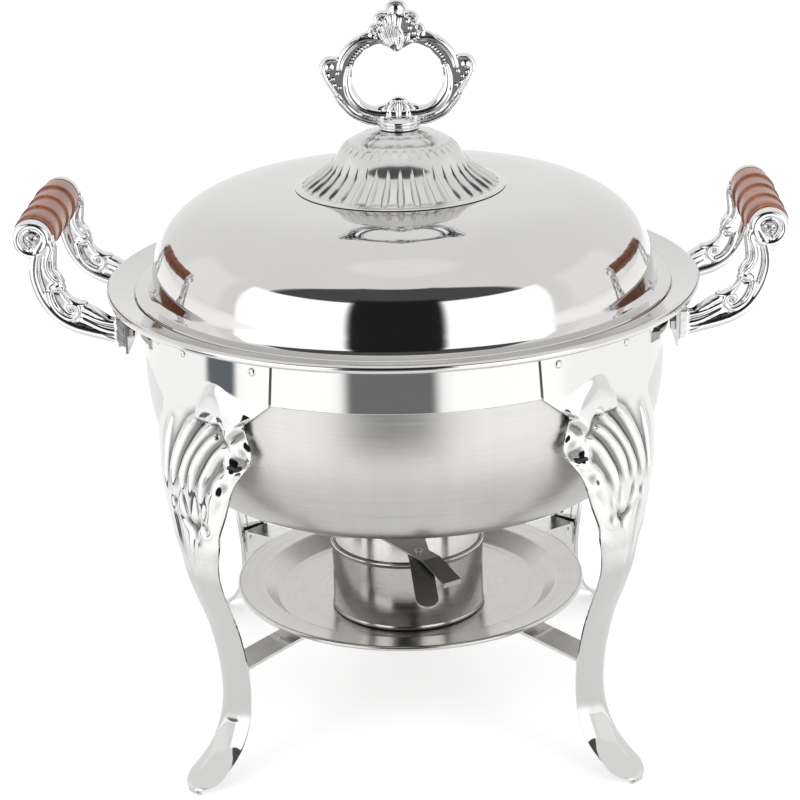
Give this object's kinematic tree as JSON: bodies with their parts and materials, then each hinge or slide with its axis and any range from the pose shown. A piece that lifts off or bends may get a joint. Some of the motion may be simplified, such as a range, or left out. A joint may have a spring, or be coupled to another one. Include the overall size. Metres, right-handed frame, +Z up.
{
  "type": "chafing dish",
  "caption": "Round chafing dish with a lift-off dome lid and loop handle, food and water pans, ornate four-leg stand, wood-grip side handles, fuel tray and fuel holder with a swivel damper.",
  "frame": {"origin": "centre of the footprint, on the surface that the four feet stand on", "axes": "+Z up; +X towards the right-hand side handle (the handle pair sits 2 degrees round from it); -Y is the front, where the fuel holder's handle and damper lever point"},
  "size_m": [0.4835, 0.38, 0.472],
  "materials": {
    "mirror_steel": "mirror-polished stainless steel",
    "satin_steel": "satin brushed stainless steel",
    "dark_steel": "fine-brushed stainless steel, a little darker",
    "cast_chrome": "bright chrome plating over a casting",
    "zinc_fastener": "bright plated fastener",
    "turned_wood": "reddish-brown stained and varnished turned wood"
  },
  "bodies": {
    "stand": {"brace_a": "satin_steel", "brace_b": "satin_steel", "brace_rivets": "satin_steel", "bracket_left_front": "cast_chrome", "bracket_left_rear": "cast_chrome", "bracket_right_front": "cast_chrome", "bracket_right_rear": "cast_chrome", "bracket_screws": "zinc_fastener", "fuel_tray": "satin_steel", "grip_left": "turned_wood", "grip_right": "turned_wood", "grip_screws": "zinc_fastener", "handle_plate_left": "mirror_steel", "handle_plate_right": "mirror_steel", "handle_plate_rivets": "mirror_steel", "leg_front_left": "mirror_steel", "leg_front_right": "mirror_steel", "leg_rear_left": "mirror_steel", "leg_rear_right": "mirror_steel", "leg_rivets": "mirror_steel", "stand_hoop": "mirror_steel", "tray_rivet": "satin_steel"},
    "water_pan": {"water_pan": "satin_steel"},
    "food_pan": {"food_pan": "mirror_steel"},
    "lid": {"lid_cover": "mirror_steel", "lid_escutcheon": "mirror_steel", "lid_handle": "cast_chrome", "lid_handle_screw": "zinc_fastener", "lid_handle_washer": "zinc_fastener"},
    "fuel_holder": {"fuel_holder_cup": "dark_steel", "fuel_holder_collar": "dark_steel", "fuel_holder_handle": "dark_steel", "damper_rivet": "zinc_fastener"},
    "damper": {"damper_lid": "dark_steel"}
  },
  "joints": [
    {"name": "water_pan_lift", "type": "slide", "parent": "stand", "child": "water_pan", "axis": [0, 0, 1], "range_m": [0, 0.15]},
    {"name": "food_pan_lift", "type": "slide", "parent": "water_pan", "child": "food_pan", "axis": [0, 0, 1], "range_m": [0, 0.08]},
    {"name": "lid_lift", "type": "slide", "parent": "food_pan", "child": "lid", "axis": [0, 0, 1], "range_m": [0, 0.2]},
    {"name": "fuel_holder_lift", "type": "slide", "parent": "stand", "child": "fuel_holder", "axis": [0, 0, 1], "range_m": [0, 0.02]},
    {"name": "damper_swivel", "type": "hinge", "parent": "fuel_holder", "child": "damper", "pos_m": [0.0055, -0.0945, 0.141], "axis": [0, 0, 1], "range_deg": [-28, 42]}
  ]
}
